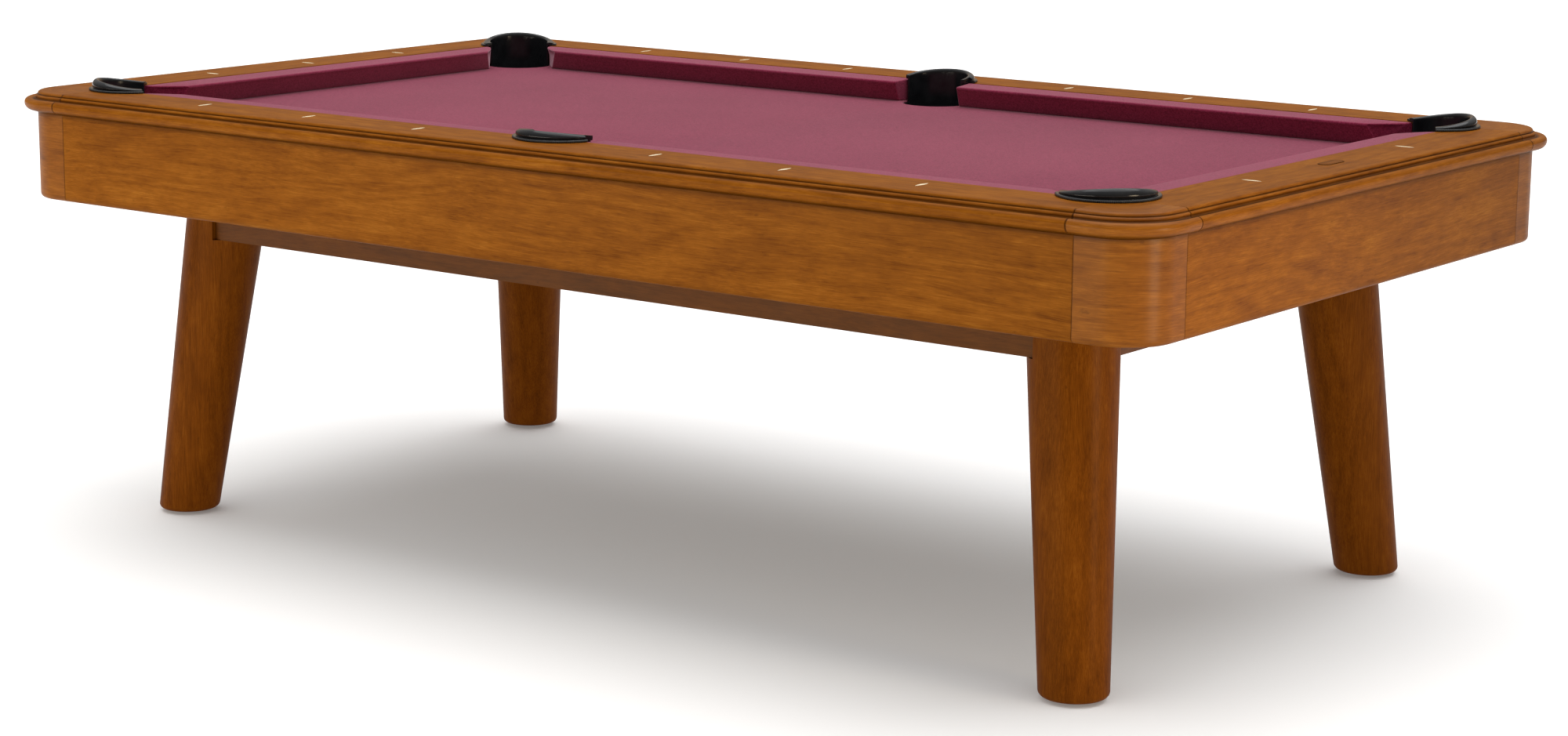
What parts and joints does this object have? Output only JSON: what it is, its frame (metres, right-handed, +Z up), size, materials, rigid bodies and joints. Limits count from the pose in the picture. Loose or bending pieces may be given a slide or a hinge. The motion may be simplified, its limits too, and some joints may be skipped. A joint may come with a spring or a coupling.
{
  "type": "pool table",
  "caption": "Six-pocket pool table with moulded wooden rails, wine-coloured cloth, black pocket liners and splayed, tapered round legs.",
  "frame": {"origin": "centre of the footprint, on the floor under the levelers", "axes": "+X along the table's length, +Y across it, +Z up"},
  "size_m": [2.415, 1.391, 0.8049],
  "materials": {
    "wood": "satin lacquer over warm brown stain",
    "leg_wood": "satin lacquer over warm brown stain",
    "medallion_wood": "satin",
    "frame_wood": "plain stained timber",
    "bed_cloth": "napped worsted cloth",
    "cushion_cloth": "rubber covered with the same wine cloth",
    "slate": "honed",
    "pocket_rubber": "polished moulded rubber",
    "foot_plastic": "matt",
    "steel": "zinc plated"
  },
  "bodies": {
    "table": {"rail_front": "wood", "apron_front": "wood", "frame_beam_front": "frame_wood", "rail_back": "wood", "apron_back": "wood", "frame_beam_back": "frame_wood", "rail_left": "wood", "apron_left": "wood", "frame_beam_left": "frame_wood", "rail_right": "wood", "apron_right": "wood", "frame_beam_right": "frame_wood", "corner_cap_front_left": "wood", "corner_block_front_left": "wood", "cushion_front_left": "cushion_cloth", "pocket_front_left": "pocket_rubber", "leg_front_left": "leg_wood", "corner_brace_front_left": "frame_wood", "leg_bolt_front_left": "steel", "corner_cap_front_right": "wood", "corner_block_front_right": "wood", "cushion_front_right": "cushion_cloth", "pocket_front_right": "pocket_rubber", "leg_front_right": "leg_wood", "corner_brace_front_right": "frame_wood", "leg_bolt_front_right": "steel", "corner_cap_back_left": "wood", "corner_block_back_left": "wood", "cushion_back_left": "cushion_cloth", "pocket_back_left": "pocket_rubber", "leg_back_left": "leg_wood", "corner_brace_back_left": "frame_wood", "leg_bolt_back_left": "steel", "corner_cap_back_right": "wood", "corner_block_back_right": "wood", "cushion_back_right": "cushion_cloth", "pocket_back_right": "pocket_rubber", "leg_back_right": "leg_wood", "corner_brace_back_right": "frame_wood", "leg_bolt_back_right": "steel", "cushion_left": "cushion_cloth", "cushion_right": "cushion_cloth", "slate_left": "slate", "slate_centre": "slate", "slate_right": "slate", "bed_cloth": "bed_cloth", "pocket_front_centre": "pocket_rubber", "pocket_back_centre": "pocket_rubber", "cross_beam_left": "frame_wood", "cross_beam_right": "frame_wood", "medallion": "medallion_wood"},
    "leveler_front_left": {"leveler_foot_front_left": "foot_plastic"},
    "leveler_front_right": {"leveler_foot_front_right": "foot_plastic"},
    "leveler_back_left": {"leveler_foot_back_left": "foot_plastic"},
    "leveler_back_right": {"leveler_foot_back_right": "foot_plastic"}
  },
  "joints": [
    {"name": "leveler_front_left_slide", "type": "slide", "parent": "table", "child": "leveler_front_left", "axis": [0, 0, 1], "range_m": [-0.012, 0]},
    {"name": "leveler_front_right_slide", "type": "slide", "parent": "table", "child": "leveler_front_right", "axis": [0, 0, 1], "range_m": [-0.012, 0]},
    {"name": "leveler_back_left_slide", "type": "slide", "parent": "table", "child": "leveler_back_left", "axis": [0, 0, 1], "range_m": [-0.012, 0]},
    {"name": "leveler_back_right_slide", "type": "slide", "parent": "table", "child": "leveler_back_right", "axis": [0, 0, 1], "range_m": [-0.012, 0]}
  ]
}
